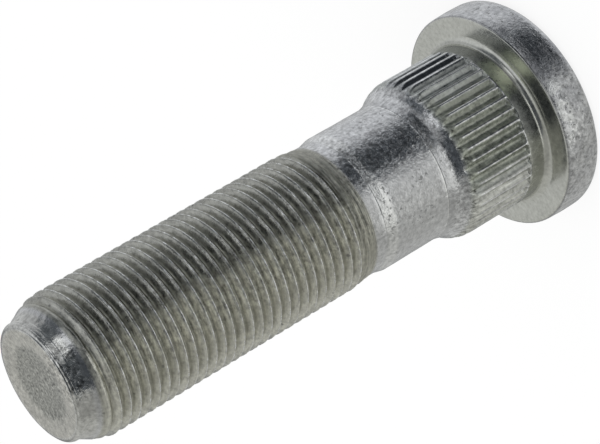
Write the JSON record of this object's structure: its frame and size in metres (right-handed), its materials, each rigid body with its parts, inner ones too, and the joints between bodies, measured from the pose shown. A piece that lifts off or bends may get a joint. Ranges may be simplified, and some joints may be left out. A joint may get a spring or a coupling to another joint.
{
  "type": "wheel stud",
  "caption": "Press-in wheel stud with a round flat head, a serrated shank, a plain neck and a metric fine thread with a dished nose.",
  "frame": {"origin": "centre of the head's outer face, on which the stud stands", "axes": "+Z along the stud's axis from the head to the threaded tip, +X through the middle of one serration groove"},
  "size_m": [0.0314, 0.0314, 0.082],
  "materials": {
    "zinc_plated_steel": "worn bright zinc plating, satin, with dull spots and fine scratches"
  },
  "bodies": {
    "root": {"wheel_stud": "zinc_plated_steel"}
  },
  "joints": []
}
